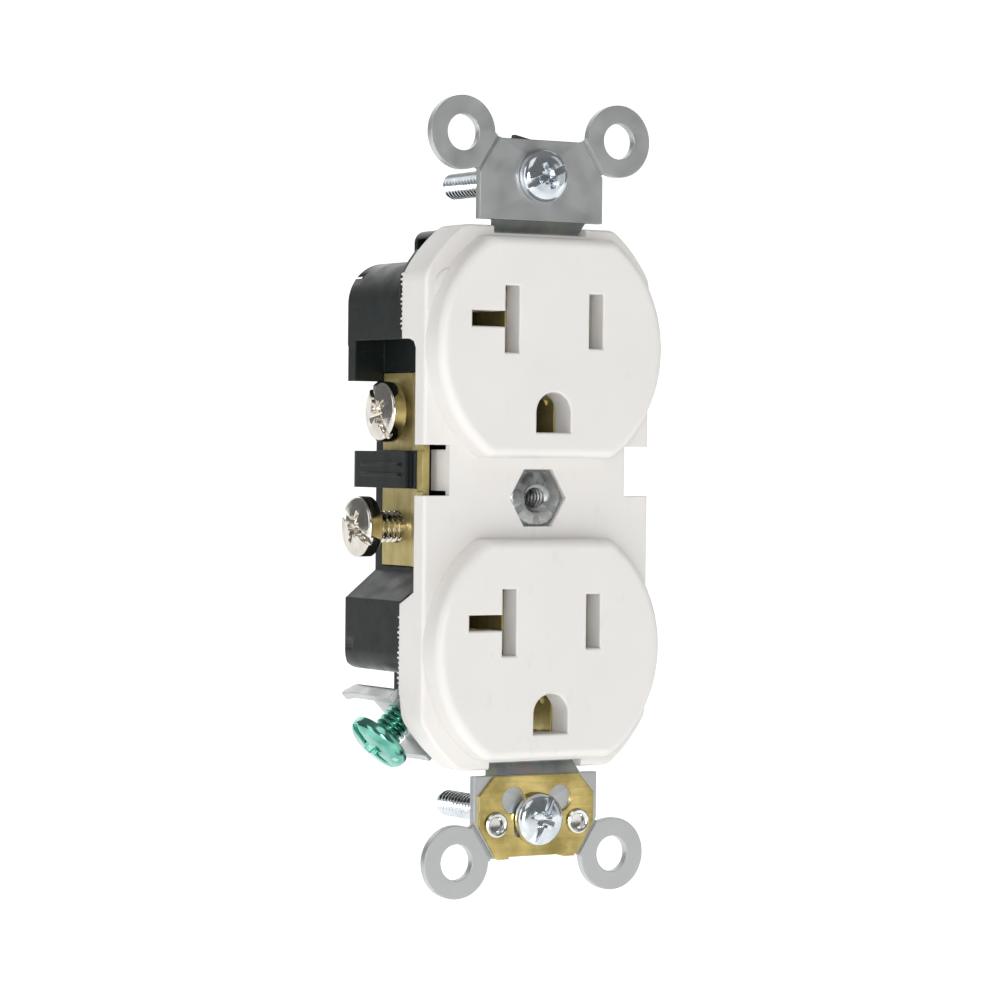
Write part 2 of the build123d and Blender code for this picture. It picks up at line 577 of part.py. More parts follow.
# ---------------------------------------------------------------- screws
def screw(head_r, head_h, shank_r, length, crown):
    """A screw standing on its head's seat: head up along +Z, shank down."""
    head = Cylinder(head_r, head_h, align=(Align.CENTER, Align.CENTER, Align.MIN))
    head = fillet(head.edges().group_by(Axis.Z)[-1], crown)
    shank = Cylinder(shank_r, length, align=(Align.CENTER, Align.CENTER, Align.MAX))
    shank = chamfer(shank.edges().group_by(Axis.Z)[0], shank_r * 0.35)
    top = Pos(0, 0, head_h)
    head -= top * Box(2 * head_r + 1, head_r * 0.28, head_h * 0.7)
    head -= top * Box(head_r * 0.28, head_r * 1.2, head_h * 1.1)
    head -= top * Box(head_r * 0.52, head_r * 0.52, head_h * 1.3)
    return head + shank


def placed(solid, seat, outward, spin=0.0):
    return Plane(origin=seat, z_dir=outward).location * Rot(0, 0, spin) * solid


SIDE_HEAD_R = 4.0
SIDE_HEAD_H = 2.4
SIDE_LENGTH = 7.94
SIDE_SEAT = {UPPER: 13.2, LOWER: 16.6}
MOUNT_HEAD_R = 3.45
MOUNT_HEAD_H = 1.9
MOUNT_TIP = 23.4
MOUNT_NECK_R = 1.45
MOUNT_NECK_L = 2.8
CLIP_T = 0.35
CLIP_HALF_W = 8.65
CLIP_RIVET_R = 1.1
CLIP_RIVET_X = 6.2
CLIP_RIVET_Z = -42.2


def side_screw(side, which):
    solid = screw(SIDE_HEAD_R, SIDE_HEAD_H, TERMINAL_THREAD_R, SIDE_LENGTH, 0.7)
    seat = (side * SIDE_SEAT[which], SIDE_SCREW_Y, screw_z(which))
    return placed(solid, seat, (side, 0, 0), spin=35)


def ground_screw():
    solid = screw(GROUND_HEAD_R, GROUND_HEAD_H, TERMINAL_THREAD_R, SIDE_LENGTH, 1.1)
    return placed(solid, GROUND_HEAD - TAB_OUT * (GROUND_HEAD_H / 2), TAB_OUT, spin=20)


def mount_seat(end):
    """Where the head of a mounting screw rests: on the ear, or on the clip over the lower ear."""
    return -FIT if end == UPPER else -CLIP_T - FIT


def mounting_screw(end):
    """Long captive screw. Its thread starts behind a plain neck that sits in the ear's slot."""
    seat = mount_seat(end)
    solid = screw(MOUNT_HEAD_R, MOUNT_HEAD_H, MOUNT_THREAD_R, MOUNT_TIP - seat, 1.2)
    waste = Cylinder(MOUNT_THREAD_R + 1, MOUNT_NECK_L, align=(Align.CENTER, Align.CENTER, Align.MAX))
    solid -= waste - Cylinder(MOUNT_NECK_R, 2 * MOUNT_NECK_L)
    return placed(solid, (0, seat, end * MOUNT_Z), (0, -1, 0), spin=30)


def screw_retainer(end):
    """Square fibre washer that keeps a mounting screw from falling out."""
    size, turn = {UPPER: (9.0, 78), LOWER: (8.0, 0)}[end]
    sheet = Rot(0, 0, turn) * Rectangle(size, size)
    sheet -= Circle(MOUNT_THREAD_R + FIT)
    return slab(Pos(0, end * MOUNT_Z) * sheet, EAR_REAR + 0.02, EAR_REAR + 0.9)


def assembly_screw(x, z):
    solid = screw(ASSEMBLY_HEAD_R, ASSEMBLY_HEAD_H, ASSEMBLY_R, ASSEMBLY_SEAT - ASSEMBLY_TIP, 0.5)
    return placed(solid, (x, ASSEMBLY_SEAT, z), (0, 1, 0))


# ---------------------------------------------------------------- self-grounding clip
def self_ground_clip():
    top, shoulder, hip, foot = -35.95, -38.5, -42.4, -46.45
    sheet = polygon((-6.4, top), (6.4, top), (CLIP_HALF_W, shoulder), (CLIP_HALF_W, hip),
                    (6.2, foot), (-6.2, foot), (-CLIP_HALF_W, hip), (-CLIP_HALF_W, shoulder))
    window = Pos(0, -41.7) * RectangleRounded(6.8, 4.4, 0.6)
    window += Pos(0, -MOUNT_Z) * Circle(MOUNT_THREAD_R + 0.5)
    for side in (LEFT, RIGHT):
        window += Pos(side * 3.55, -39.1) * Circle(1.75)
    sheet -= window
    for side in (LEFT, RIGHT):
        sheet -= Pos(side * CLIP_RIVET_X, CLIP_RIVET_Z) * Circle(CLIP_RIVET_R)
    clip = slab(sheet, -CLIP_T, 0)
    for side in (LEFT, RIGHT):
        x_ends = span(side, 4.2, 5.8)
        clip += block(*x_ends, -CLIP_T, STRAP_T + CLIP_T, -EAR_OUTER_Z - CLIP_T, -EAR_OUTER_Z)
        clip += block(*x_ends, STRAP_T, STRAP_T + CLIP_T, -EAR_OUTER_Z - CLIP_T, -45.2)
    return clip


def clip_rivet(side):
    """Hollow rivet with a flared front rim."""
    x, z = side * CLIP_RIVET_X, CLIP_RIVET_Z
    rivet = rod_y(CLIP_RIVET_R, x, z, -CLIP_T, STRAP_T)
    rivet += rod_y(1.65, x, z, -CLIP_T - 0.45, -CLIP_T)
    rivet += rod_y(1.8, x, z, STRAP_T, STRAP_T + 0.5)
    dish = Plane(origin=(x, -CLIP_T - 0.45, z), z_dir=(0, 1, 0)) * Cone(
        1.3, 0.7, 0.8, align=(Align.CENTER, Align.CENTER, Align.MIN))
    return rivet - dish


# ---------------------------------------------------------------- all pieces
pieces = {
    "face_cover": face_cover(),
    "rear_body": rear_body(),
    "mounting_strap": mounting_strap(),
    "plate_screw_standoff": plate_screw_standoff(),
    "neutral_bus": bus_bar(LEFT),
    "hot_bus": bus_bar(RIGHT),
    "ground_screw": ground_screw(),
    "self_ground_clip": self_ground_clip(),
    "clip_rivet_left": clip_rivet(LEFT),
    "clip_rivet_right": clip_rivet(RIGHT),
}
for end, word in ((UPPER, "upper"), (LOWER, "lower")):
    pieces["ground_contact_" + word] = ground_contact(end)
    pieces["ground_rivet_" + word] = ground_rivet(end)
    pieces["neutral_screw_" + word] = side_screw(LEFT, end)
    pieces["hot_screw_" + word] = side_screw(RIGHT, end)
    pieces["mounting_screw_" + word] = mounting_screw(end)
    pieces["screw_retainer_" + word] = screw_retainer(end)
for name, (x, z) in ASSEMBLY_SCREWS.items():
    pieces[name] = assembly_screw(x, z)

os.makedirs("parts", exist_ok=True)
for name, solid in pieces.items():
    export_step(solid, f"parts/{name}.step")
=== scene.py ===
import math

import bpy
from mathutils import Matrix, Vector

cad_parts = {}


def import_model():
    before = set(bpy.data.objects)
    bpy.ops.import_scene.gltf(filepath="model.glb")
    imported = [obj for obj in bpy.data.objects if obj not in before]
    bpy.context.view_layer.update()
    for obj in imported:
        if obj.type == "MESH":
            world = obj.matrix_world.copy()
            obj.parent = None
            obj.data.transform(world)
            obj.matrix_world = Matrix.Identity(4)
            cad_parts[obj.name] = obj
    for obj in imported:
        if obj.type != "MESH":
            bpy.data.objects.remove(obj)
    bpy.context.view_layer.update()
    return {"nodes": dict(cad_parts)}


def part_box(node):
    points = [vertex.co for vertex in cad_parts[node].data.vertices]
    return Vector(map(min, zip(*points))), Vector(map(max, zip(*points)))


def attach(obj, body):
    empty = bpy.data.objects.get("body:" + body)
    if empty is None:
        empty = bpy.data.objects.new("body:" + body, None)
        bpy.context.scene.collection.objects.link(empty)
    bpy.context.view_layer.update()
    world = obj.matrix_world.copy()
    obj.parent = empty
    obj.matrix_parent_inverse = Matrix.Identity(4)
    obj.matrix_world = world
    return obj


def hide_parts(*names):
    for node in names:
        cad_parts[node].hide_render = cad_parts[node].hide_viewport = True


# The looks of a duplex wall outlet. Everything is in metres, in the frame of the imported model:
# +X to the right as the user faces the wall, +Y back into the wall, +Z up.
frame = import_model()
MM = 0.001

# ---------------------------------------------------------------- places and sizes
LEAN = math.radians(46)                       # lean of the ground terminal
GROUND_OUT = Vector((-math.sin(LEAN), 0, -math.cos(LEAN)))
PITCH = 0.794 * MM                            # 6-32 and 8-32 threads
THREAD_STEPS = 10                             # rows of a thread in one pitch


# ---------------------------------------------------------------- mesh helpers
def mesh_object(name, verts, faces):
    mesh = bpy.data.meshes.new(name)
    mesh.from_pydata([tuple(v) for v in verts], [], faces)
    mesh.update()
    piece = bpy.data.objects.new(name, mesh)
    bpy.context.scene.collection.objects.link(piece)
    return piece


def baked(piece):
    """Applies a piece's modifiers."""
    bpy.context.view_layer.update()
    graph = bpy.context.evaluated_depsgraph_get()
    mesh = bpy.data.meshes.new_from_object(piece.evaluated_get(graph))
    piece.modifiers.clear()
    old = piece.data
    piece.data = mesh
    bpy.data.meshes.remove(old)
    return piece


def soften(piece, width, segments=2, angle=30):
    """Rounds the sharp edges of a piece."""
    bevel = piece.modifiers.new("bevel", "BEVEL")
    bevel.width = width
    bevel.segments = segments
    bevel.limit_method = "ANGLE"
    bevel.angle_limit = math.radians(angle)
    bevel.use_clamp_overlap = True
    return baked(piece)


def smooth(piece, angle=32):
    piece.data.shade_smooth()
    piece.data.set_sharp_from_angle(angle=math.radians(angle))
    return piece


def combine(piece, tool, operation):
    """Cuts tool out of piece, or joins it to piece, and deletes tool."""
    boolean = piece.modifiers.new("boolean", "BOOLEAN")
    boolean.operation = operation
    boolean.solver = "EXACT"
    boolean.object = tool
    baked(piece)
    bpy.data.objects.remove(tool)
    return piece


def lathe(name, profile, segments=64):
    """A closed solid turned about Z. The profile is (radius, z) from the bottom up."""
    verts, faces, rings = [], [], []
    for radius, z in profile:
        if radius < 1e-7:
            rings.append([len(verts)])
            verts.append((0, 0, z))
            continue
        ring = range(len(verts), len(verts) + segments)
        rings.append(list(ring))
        for k in range(segments):
            turn = 2 * math.pi * k / segments
            verts.append((radius * math.cos(turn), radius * math.sin(turn), z))
    for low, high in zip(rings, rings[1:]):
        for k in range(segments):
            n = (k + 1) % segments
            if len(low) == 1:
                faces.append((low[0], high[n], high[k]))
            elif len(high) == 1:
                faces.append((low[k], low[n], high[0]))
            else:
                faces.append((low[k], low[n], high[n], high[k]))
    for ring, flip in ((rings[0], True), (rings[-1], False)):
        if len(ring) > 1:
            faces.append(tuple(ring[::-1] if flip else ring))
    return mesh_object(name, verts, faces)


def looped(name, rings):
    """A closed solid with a hole through it. Each ring has the same number of points."""
    count = len(rings[0])
    verts = [point for ring in rings for point in ring]
    faces = []
    for i in range(len(rings)):
        a, b = i * count, (i + 1) % len(rings) * count
        for k in range(count):
            n = (k + 1) % count
            faces.append((a + k, b + k, b + n, a + n))
    return mesh_object(name, verts, faces)


def threaded_rod(name, crest, root, length, runout, tip=0.5 * MM, segments=40):
    """A threaded shank from z = 0 down to z = -length, plain for the first runout of it."""
    step = PITCH / THREAD_STEPS
    count = int(length / step)
    verts, faces = [], []
    for i in range(count + 1):
        z = -length * i / count
        depth = min(1.0, max(0.0, (-z - runout) / PITCH))
        taper = max(0.0, 1 - (length + z) / tip)
        for k in range(segments):
            turn = 2 * math.pi * k / segments
            phase = 2 * math.pi * z / PITCH - turn
            wave = 0.5 + 0.5 * math.cos(phase)
            wave = min(1.0, max(0.0, (wave - 0.08) * 1.25))
            radius = crest - (crest - root) * depth * (1 - wave)
            radius = min(radius, crest - (crest - root * 0.86) * taper)
            verts.append((radius * math.cos(turn), radius * math.sin(turn), z))
    for i in range(count):
        for k in range(segments):
            n = (k + 1) % segments
            a, b = i * segments, (i + 1) * segments
            faces.append((a + k, b + k, b + n, a + n))
    faces.append(tuple(range(segments)))
    last = count * segments
    faces.append(tuple(last + k for k in reversed(range(segments))))
    return mesh_object(name, verts, faces)


def bar(name, size, place=(0, 0, 0), turn=0.0, taper=1.0):
    """A block along local X, narrower at its lower end when taper is under 1."""
    x, y, z = (s / 2 for s in size)
    verts = []
    for sz in (-1, 1):
        scale = taper if sz < 0 else 1.0
        narrow = 0.75 if sz < 0 and taper < 1 else 1
        for sx, sy in ((-1, -1), (1, -1), (1, 1), (-1, 1)):
            verts.append(Vector((sx * x * scale, sy * y * narrow, sz * z)))
    faces = [(3, 2, 1, 0), (4, 5, 6, 7), (0, 1, 5, 4), (1, 2, 6, 5), (2, 3, 7, 6), (3, 0, 4, 7)]
    matrix = Matrix.Translation(place) @ Matrix.Rotation(turn, 4, "Z")
    return mesh_object(name, [matrix @ v for v in verts], faces)


def place(piece, origin, outward, spin=0.0):
    """Turns local +Z to outward and moves the local origin to origin, in the mesh itself."""
    outward = Vector(outward).normalized()
    turn = Vector((0, 0, 1)).rotation_difference(outward).to_matrix().to_4x4()
    matrix = Matrix.Translation(origin) @ turn @ Matrix.Rotation(spin, 4, "Z")
    piece.data.transform(matrix)
    return piece


# ---------------------------------------------------------------- materials
class Shader:
    """A small wrapper for building one node material."""

    def __init__(self, name, **sockets):
        self.material = bpy.data.materials.new(name)
        self.material.use_nodes = True
        self.tree = self.material.node_tree
        self.bsdf = self.tree.nodes["Principled BSDF"]
        for socket, value in sockets.items():
            self.bsdf.inputs[socket.replace("_", " ")].default_value = value

    def node(self, kind, **settings):
        made = self.tree.nodes.new(kind)
        for key, value in settings.items():
            setattr(made, key, value)
        return made

    def link(self, source, target):
        self.tree.links.new(source, target)

    def coords(self, scale=(1, 1, 1)):
        texture = self.node("ShaderNodeTexCoord").outputs["Object"]
        mapping = self.node("ShaderNodeMapping")
        mapping.inputs["Scale"].default_value = scale
        self.link(texture, mapping.inputs["Vector"])
        return mapping.outputs["Vector"]

    def noise(self, scale, detail=3.0, stretch=(1, 1, 1), roughness=0.5):
        made = self.node("ShaderNodeTexNoise")
        made.inputs["Scale"].default_value = scale
        made.inputs["Detail"].default_value = detail
        made.inputs["Roughness"].default_value = roughness
        self.link(self.coords(stretch), made.inputs["Vector"])
        return made.outputs["Fac"]

    def cells(self, scale):
        made = self.node("ShaderNodeTexVoronoi")
        made.inputs["Scale"].default_value = scale
        self.link(self.coords(), made.inputs["Vector"])
        return made.outputs["Color"]

    def remap(self, value, low, high, to_low, to_high):
        made = self.node("ShaderNodeMapRange")
        ends = {"From Min": low, "From Max": high, "To Min": to_low, "To Max": to_high}
        for socket, number in ends.items():
            made.inputs[socket].default_value = number
        self.link(value, made.inputs["Value"])
        return made.outputs["Result"]

    def math(self, operation, a, b):
        made = self.node("ShaderNodeMath", operation=operation)
        for socket, value in zip(made.inputs, (a, b)):
            if isinstance(value, (int, float)):
                socket.default_value = value
            else:
                self.link(value, socket)
        return made.outputs[0]

    def mix(self, factor, a, b, blend="MIX"):
        made = self.node("ShaderNodeMix", data_type="RGBA", blend_type=blend)
        for socket, value in ((made.inputs[0], factor), (made.inputs[6], a), (made.inputs[7], b)):
            if isinstance(value, (int, float)):
                socket.default_value = value
            elif isinstance(value, tuple):
                socket.default_value = (*value, 1)
            else:
                self.link(value, socket)
        return made.outputs[2]

    def edges(self, low, high):
        """1 on worn convex edges and 0 elsewhere."""
        pointiness = self.node("ShaderNodeNewGeometry").outputs["Pointiness"]
        return self.remap(pointiness, low, high, 0.0, 1.0)

    def bump(self, height, strength, distance, edge_radius=0.0):
        """Small relief, over edges that are rounded in shading when edge_radius is given."""
        made = self.node("ShaderNodeBump")
        made.inputs["Strength"].default_value = strength
        made.inputs["Distance"].default_value = distance
        self.link(height, made.inputs["Height"])
        if edge_radius:
            rounded = self.node("ShaderNodeBevel", samples=4)
            rounded.inputs["Radius"].default_value = edge_radius
            self.link(rounded.outputs["Normal"], made.inputs["Normal"])
        self.link(made.outputs["Normal"], self.bsdf.inputs["Normal"])

    def set(self, socket, value):
        self.link(value, self.bsdf.inputs[socket])


def white_nylon():
    s = Shader("white_nylon", IOR=1.5, Subsurface_Weight=0.06, Subsurface_Scale=0.0008)
    s.bsdf.inputs["Subsurface Radius"].default_value = (1.0, 0.8, 0.6)
    cloud = s.noise(90, 4)
    colour = s.mix(cloud, (0.72, 0.697, 0.67), (0.775, 0.757, 0.733))
    scuff = s.remap(s.noise(600, 5, (1, 1, 0.35)), 0.62, 0.72, 0.0, 0.18)
    s.set("Base Color", s.mix(scuff, colour, (0.60, 0.58, 0.55)))
    s.set("Roughness", s.remap(s.noise(240, 4), 0.3, 0.7, 0.34, 0.5))
    grain = s.math("ADD", s.noise(5200, 2), s.math("MULTIPLY", s.noise(420, 3), 1.5))
    s.bump(grain, 0.12, 0.00004, edge_radius=0.0002)
    return s.material


def black_plastic():
    s = Shader("black_plastic", IOR=1.4, Specular_IOR_Level=0.3)
    cloud = s.noise(160, 4)
    colour = s.mix(cloud, (0.004, 0.007, 0.007), (0.010, 0.014, 0.0135))
    dust = s.remap(s.noise(1500, 4), 0.6, 0.8, 0.0, 0.3)
    s.set("Base Color", s.mix(dust, colour, (0.035, 0.042, 0.04)))
    s.set("Roughness", s.remap(s.noise(300, 4), 0.3, 0.7, 0.26, 0.46))
    grain = s.math("ADD", s.noise(4200, 3), s.math("MULTIPLY", s.noise(700, 3), 0.8))
    s.bump(grain, 0.25, 0.00005, edge_radius=0.0003)
    return s.material


def galvanised():
    s = Shader("galvanised_steel", Metallic=1.0, IOR=2.5)
    streak = s.noise(500, 5, (1, 1, 0.12))
    blotch = s.noise(260, 4)
    spangle = s.cells(420)
    colour = s.mix(s.remap(streak, 0.3, 0.7, 0, 1), (0.13, 0.138, 0.138), (0.27, 0.28, 0.28))
    colour = s.mix(s.remap(blotch, 0.35, 0.65, 0, 0.5), colour, (0.36, 0.37, 0.36))
    colour = s.mix(0.16, colour, spangle, "OVERLAY")
    s.set("Base Color", s.mix(s.edges(0.52, 0.62), colour, (0.55, 0.56, 0.56)))
    s.set("Roughness", s.remap(blotch, 0.3, 0.7, 0.34, 0.52))
    s.bump(s.math("ADD", s.noise(2400, 4, (1, 1, 0.2)), blotch), 0.3, 0.00004, edge_radius=0.0002)
    return s.material


def brass(name, low, high, roughness, stretch, metallic=1.0):
    s = Shader(name, Metallic=metallic, IOR=1.6)
    tarnish = s.noise(230, 5)
    line = s.noise(1600, 3, stretch)
    colour = s.mix(s.remap(tarnish, 0.32, 0.68, 0, 1), low, high)
    shade = tuple(c * 0.72 for c in low)
    s.set("Base Color", s.mix(s.remap(line, 0.45, 0.7, 0, 0.25), colour, shade))
    s.set("Roughness", s.remap(tarnish, 0.3, 0.7, roughness * 1.3, roughness * 0.8))
    relief = s.math("ADD", line, s.math("MULTIPLY", s.noise(500, 2), 1.6))
    s.bump(relief, 0.22, 0.00003, edge_radius=0.00015)
    return s.material


def plated(name, low, high, roughness, coat=0.0):
    """A bright plated screw: fine tumbling marks, brighter worn edges."""
    s = Shader(name, Metallic=1.0, IOR=2.0, Coat_Weight=coat, Coat_Roughness=0.08)
    patch = s.noise(420, 4)
    colour = s.mix(s.remap(patch, 0.3, 0.7, 0, 1), low, high)
    bright = tuple(min(1, c * 1.12 + 0.04) for c in high)
    s.set("Base Color", s.mix(s.edges(0.53, 0.64), colour, bright))
    s.set("Roughness", s.remap(s.noise(1300, 4), 0.3, 0.7, roughness * 0.7, roughness * 1.4))
    s.bump(s.math("ADD", s.noise(2600, 3), s.math("MULTIPLY", s.noise(700, 2), 1.5)), 0.16, 0.00004)
    return s.material


def fibre():
    s = Shader("dark_fibre", IOR=1.45)
    strand = s.noise(1800, 5, (0.2, 1, 1))
    s.set("Base Color", s.mix(strand, (0.035, 0.032, 0.03), (0.09, 0.08, 0.072)))
    s.set("Roughness", s.remap(strand, 0.3, 0.7, 0.6, 0.85))
    s.bump(strand, 0.4, 0.00005, edge_radius=0.0001)
    return s.material


NYLON = white_nylon()
BLACK = black_plastic()
STEEL = galvanised()
STRIP_BRASS = brass("strip_brass", (0.42, 0.34, 0.12), (0.66, 0.55, 0.24), 0.38, (1, 1, 0.15),
                    metallic=0.72)
CLIP_BRASS = brass("clip_brass", (0.34, 0.27, 0.09), (0.66, 0.52, 0.20), 0.22, (0.1, 1, 1))
NICKEL = plated("nickel_plate", (0.55, 0.51, 0.45), (0.76, 0.73, 0.68), 0.12)
SCREW_BRASS = plated("screw_brass", (0.55, 0.40, 0.14), (0.76, 0.60, 0.27), 0.16)
GREEN = plated("green_zinc", (0.05, 0.28, 0.21), (0.22, 0.56, 0.46), 0.14, coat=0.5)
ZINC = plated("bright_zinc", (0.50, 0.54, 0.58), (0.70, 0.74, 0.77), 0.13)
RIVET = plated("bright_rivet", (0.50, 0.50, 0.49), (0.74, 0.73, 0.70), 0.15)
GREY_ZINC = plated("grey_zinc", (0.22, 0.225, 0.225), (0.40, 0.41, 0.40), 0.3)
FIBRE = fibre()


def finish_piece(piece, material, slot, body, *nodes):
    piece.data.materials.clear()
    piece.data.materials.append(material)
    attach(piece, body)
    if nodes:
        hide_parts(*nodes)
    return piece


# ---------------------------------------------------------------- screws
def recessed_head(name, radius, height, rim, slot_w, cross_w, depth, dome=0.25 * MM):
    """A pan head with a wide slot, a cross recess over it and a small square in the middle."""
    crown = height - rim
    profile = [(0, 0), (radius - 0.15 * MM, 0), (radius, 0.15 * MM), (radius, rim)]
    for k in range(1, 9):
        turn = math.pi / 2 * k / 8
        profile.append((radius - crown * 1.1 * (1 - math.cos(turn)),
                        rim + (crown - dome) * math.sin(turn)))
    shoulder = profile[-1][0]
    for k in range(1, 7):
        r = shoulder * (1 - k / 6)
        profile.append((r, height - dome * (r / shoulder) ** 2))
    head = lathe(name, profile, 72)
    slot_cut = bar("slot", (radius * 2.4, slot_w, depth), (0, 0, height - depth / 2 + 0.1 * MM))
    combine(head, slot_cut, "DIFFERENCE")
    for turn in (0, math.pi / 2):
        arm = bar("arm", (radius * 1.16, cross_w, depth * 1.8),
                  (0, 0, height - depth * 0.9 + 0.1 * MM), turn, 0.35)
        combine(head, arm, "DIFFERENCE")
    socket = bar("socket", (cross_w * 1.9, cross_w * 1.9, depth * 2.1),
                 (0, 0, height - depth * 0.7), 0, 0.9)
    combine(head, socket, "DIFFERENCE")
    soften(head, 0.09 * MM)
    return head


def build_screw(name, radius, height, rim, crest, root, length, neck, slot_w, cross_w, depth):
    head = recessed_head(name, radius, height, rim, slot_w, cross_w, depth)
    shank = threaded_rod(name + "_thread", crest, root, length, runout=neck)
    shank.data.transform(Matrix.Translation((0, 0, 0.02 * MM)))
    combine(head, shank, "UNION")
    return smooth(head)


SIDE_HEAD_R, SIDE_HEAD_H, SIDE_LENGTH = 4.0 * MM, 2.4 * MM, 7.94 * MM
TERMINAL_R = 2.08 * MM                        # 8-32, at the crests
for word in ("upper", "lower"):
    for side, family, material in ((-1, "neutral", NICKEL), (1, "hot", SCREW_BRASS)):
        node = f"{family}_screw_{word}"
        low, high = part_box(node)
        seat_x = (low.x + SIDE_HEAD_H) if side < 0 else (high.x - SIDE_HEAD_H)
        seat = Vector((seat_x, (low.y + high.y) / 2, (low.z + high.z) / 2))
        piece = build_screw(node + "_detail", SIDE_HEAD_R, SIDE_HEAD_H, 1.7 * MM, TERMINAL_R,
                            1.62 * MM, SIDE_LENGTH, 0.2 * MM, 1.1 * MM, 0.95 * MM, 1.1 * MM)
        place(piece, seat, (side, 0, 0), math.radians(35 if word == "upper" else 62))
        finish_piece(piece, material, "nickel" if side < 0 else "screw_brass", node, node)

GROUND_HEAD = Vector((-17.9, 10.4, -32.2)) * MM
GROUND_HEAD_H = 2.1 * MM
piece = build_screw("ground_screw_detail", 4.25 * MM, GROUND_HEAD_H, 0.75 * MM, TERMINAL_R,
                    1.55 * MM, SIDE_LENGTH, 0.1 * MM, 1.5 * MM, 1.1 * MM, 1.0 * MM)
place(piece, GROUND_HEAD - GROUND_OUT * GROUND_HEAD_H / 2, GROUND_OUT, math.radians(8))
finish_piece(piece, GREEN, "green_screw", "ground_screw", "ground_screw")

for word, spin in (("upper", 24), ("lower", 64)):
    node = f"mounting_screw_{word}"
    low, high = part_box(node)
    head_h = 1.9 * MM
    seat = Vector((0, low.y + head_h, (low.z + high.z) / 2))
    piece = build_screw(node + "_detail", 3.45 * MM, head_h, 0.55 * MM, 1.75 * MM, 1.36 * MM,
                        high.y - seat.y, 2.4 * MM, 0.95 * MM, 0.9 * MM, 0.85 * MM)
    place(piece, seat, (0, -1, 0), math.radians(spin))
    finish_piece(piece, ZINC, "zinc", node, node)

for corner in ("upper_left", "upper_right", "lower_left", "lower_right"):
    node = f"assembly_screw_{corner}"
    low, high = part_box(node)
    head_h = 1.6 * MM
    seat = Vector(((low.x + high.x) / 2, high.y - head_h, (low.z + high.z) / 2))
    piece = build_screw(node + "_detail", 2.6 * MM, head_h, 1.0 * MM, 1.4 * MM, 1.05 * MM,
                        seat.y - low.y, 0.3 * MM, 0.7 * MM, 0.7 * MM, 0.7 * MM)
    place(piece, seat, (0, 1, 0), math.radians(33 if "left" in corner else 71))
    finish_piece(piece, ZINC, "zinc", "device", node)


# ---------------------------------------------------------------- clip rivets, standoff and skirt teeth
def clip_rivet(side):
    """A hollow rivet with a rolled rim."""
    node = f"clip_rivet_{side}"
    low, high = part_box(node)
    rear = -(high.y + 0.35 * MM)
    back = rear + 0.5 * MM
    profile = [(0, rear), (1.62, rear), (1.8, rear + 0.14 * MM), (1.74, rear + 0.4 * MM),
               (1.1, back), (1.1, 0), (1.52, 0), (1.65, 0.14 * MM), (1.6, 0.32 * MM),
               (1.4, 0.45 * MM),
               (1.16, 0.38 * MM), (0.96, 0.16 * MM), (0.86, -0.4 * MM), (0, -0.55 * MM)]
    piece = lathe(node + "_detail", [(r * MM, z) for r, z in profile], 48)
    place(piece, ((low.x + high.x) / 2, -0.35 * MM, (low.z + high.z) / 2), (0, -1, 0))
    smooth(piece, 40)
    finish_piece(piece, RIVET, "rivet", "device", node)


def standoff():
    """The hexagon with broken corners, and a tapped hole through it."""
    count, flats = 96, 3.5
    turns = [2 * math.pi * k / count for k in range(count)]

    def ring(y, radius_at):
        return [Vector((radius_at(t) * math.cos(t), y, radius_at(t) * math.sin(t))) * MM
                for t in turns]

    def hexagon(turn, most=9.0):
        across = math.radians(30) - turn % math.radians(60)
        return min(flats / math.cos(across), most)

    rings = [ring(0.6, lambda t: hexagon(t, 3.42)), ring(0.68, lambda t: hexagon(t, 3.62)),
             ring(0.86, lambda t: hexagon(t, 3.98)), ring(1.3, lambda t: hexagon(t, 3.98))]
    steps = ((1.3, 2.4), (2.35, 2.4), (2.35, 3.1), (2.95, 3.1), (2.95, 2.4), (7.6, 2.4), (7.6, 1.6))
    for y, radius in steps:
        rings.append(ring(y, lambda t, r=radius: r))
    rows, pitch = 110, PITCH / MM

    def thread(turn, y):
        return 1.36 + 0.32 * (0.5 + 0.5 * math.cos(2 * math.pi * y / pitch + turn))

    for i in range(rows):
        y = 7.5 - (7.5 - 1.0) * i / (rows - 1)
        rings.append(ring(y, lambda t, y=y: thread(t, y)))
    rings += [ring(0.85, lambda t: 1.78), ring(0.6, lambda t: 2.02)]
    piece = looped("plate_screw_standoff_detail", rings)
    smooth(piece, 28)
    finish_piece(piece, GREY_ZINC, "standoff", "device", "plate_screw_standoff")


for side in ("left", "right"):
    clip_rivet(side)
standoff()


def skirt_teeth():
    """The rough moulded edge at the back of the cover's left side, as one row of small wedges."""
    verts, faces = [], []
    side, back = -17.05, -16.78
    for low, high in ((21.4, 29.0), (-25.0, -15.2)):
        count = int((high - low) / 0.62)
        for k in range(count):
            z = low + (high - low) * (k + 0.5) / count
            reach = 0.35 + 0.5 * abs(math.sin(k * 2.4 + low))
            half = 0.15 + 0.12 * abs(math.cos(k * 1.7 + low))
            first = len(verts)
            tip = (6.15 + reach, half * 0.35, side + 0.1)
            for y, h, outer in ((5.9, half, side), (6.15, half, side), tip):
                verts += [(outer, y, z - h), (back, y, z - h), (back, y, z + h), (outer, y, z + h)]
            faces.append(tuple(first + i for i in (3, 2, 1, 0)))
            faces.append(tuple(first + 8 + i for i in range(4)))
            for row in (0, 4):
                for i in range(4):
                    n = (i + 1) % 4
                    faces.append(tuple(first + row + j for j in (i, n, n + 4, i + 4)))
    piece = mesh_object("skirt_teeth", [Vector(v) * MM for v in verts], faces)
    finish_piece(piece, NYLON, "face", "device")


skirt_teeth()


